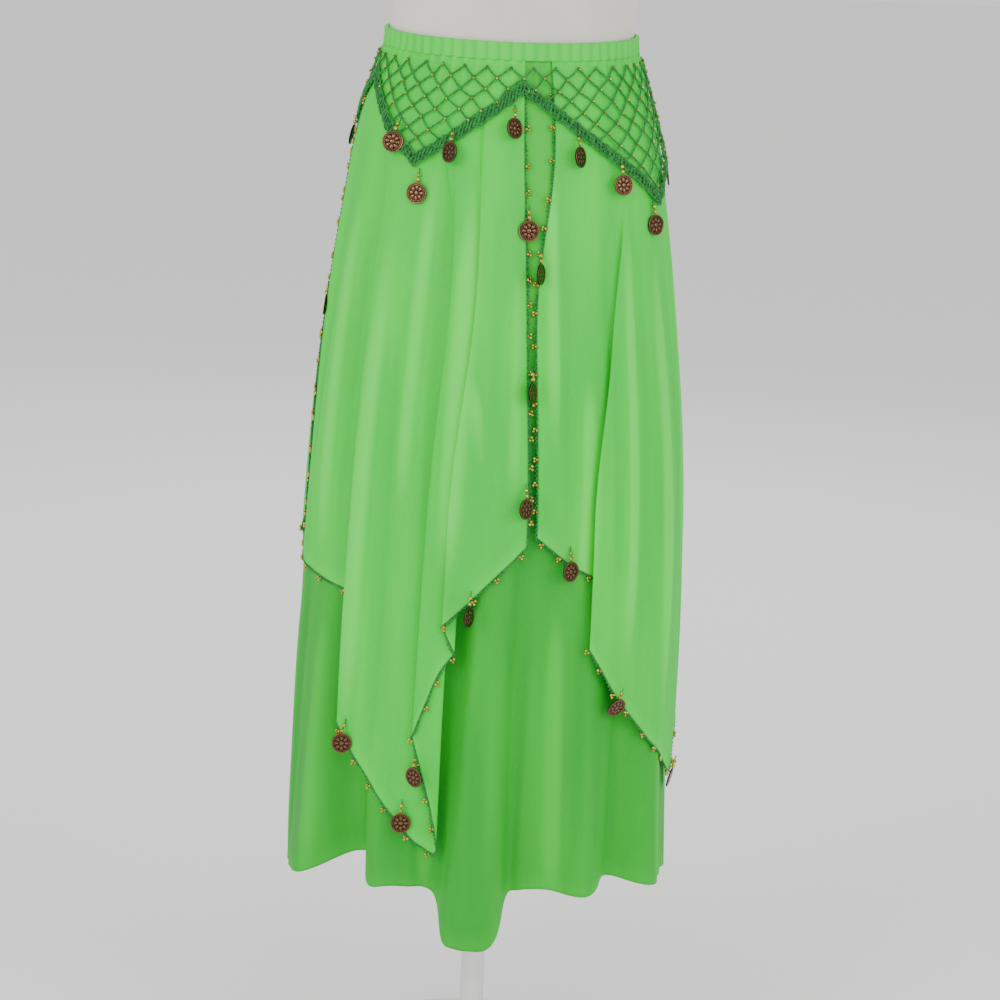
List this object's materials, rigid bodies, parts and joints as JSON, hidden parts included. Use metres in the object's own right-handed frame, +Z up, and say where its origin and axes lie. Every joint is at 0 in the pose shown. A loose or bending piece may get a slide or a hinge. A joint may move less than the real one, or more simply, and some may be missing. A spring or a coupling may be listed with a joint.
{
  "type": "belly dance skirt on dress form",
  "caption": "Long two-layer chiffon skirt with a gathered waistband, pointed overlay panels and a netted hip scarf with coins, worn by a limbless dress form on a round stand",
  "frame": {"origin": "on the floor, under the middle of the stand's round foot, which is the flat face the part rests on", "axes": "+Z is up and along the stand's pole, the front of the skirt faces -Y, and +X is on the right of someone who looks at the front"},
  "size_m": [0.4045, 0.3874, 1.515],
  "materials": {
    "overlay_chiffon": "sheer light green chiffon with a soft sheen",
    "underskirt_chiffon": "the same chiffon in more layers, darker green",
    "crochet_yarn": "matt emerald crochet yarn",
    "coin_brass": "antique brass, darkened in the hollows",
    "form_plastic": "glossy off-white moulding",
    "stand_enamel": "white enamel"
  },
  "bodies": {
    "root": {"waistband": "overlay_chiffon", "underskirt_front": "underskirt_chiffon", "underskirt_back": "underskirt_chiffon", "overlay_front": "overlay_chiffon", "overlay_right": "overlay_chiffon", "overlay_left": "overlay_chiffon", "scarf_front": "crochet_yarn", "scarf_back": "crochet_yarn", "form_torso": "form_plastic", "stand_pole": "stand_enamel", "stand_foot": "stand_enamel", "coin_hem_1": "coin_brass", "coin_hem_2": "coin_brass", "coin_hem_3": "coin_brass", "coin_hem_4": "coin_brass", "coin_hem_5": "coin_brass", "coin_hem_6": "coin_brass", "coin_hem_7": "coin_brass", "coin_hem_8": "coin_brass", "coin_hem_9": "coin_brass", "coin_hem_10": "coin_brass", "coin_hem_11": "coin_brass", "coin_scarf_1": "coin_brass", "coin_scarf_2": "coin_brass", "coin_scarf_3": "coin_brass", "coin_scarf_4": "coin_brass", "coin_scarf_5": "coin_brass", "coin_scarf_6": "coin_brass", "coin_scarf_7": "coin_brass", "coin_scarf_8": "coin_brass", "coin_scarf_9": "coin_brass", "coin_scarf_10": "coin_brass", "coin_scarf_11": "coin_brass", "coin_scarf_12": "coin_brass", "coin_scarf_13": "coin_brass", "coin_scarf_14": "coin_brass", "coin_scarf_15": "coin_brass", "coin_slit_1": "coin_brass", "coin_slit_2": "coin_brass", "coin_slit_3": "coin_brass", "coin_slit_4": "coin_brass", "coin_slit_5": "coin_brass", "coin_slit_6": "coin_brass", "coin_slit_7": "coin_brass"}
  },
  "joints": []
}
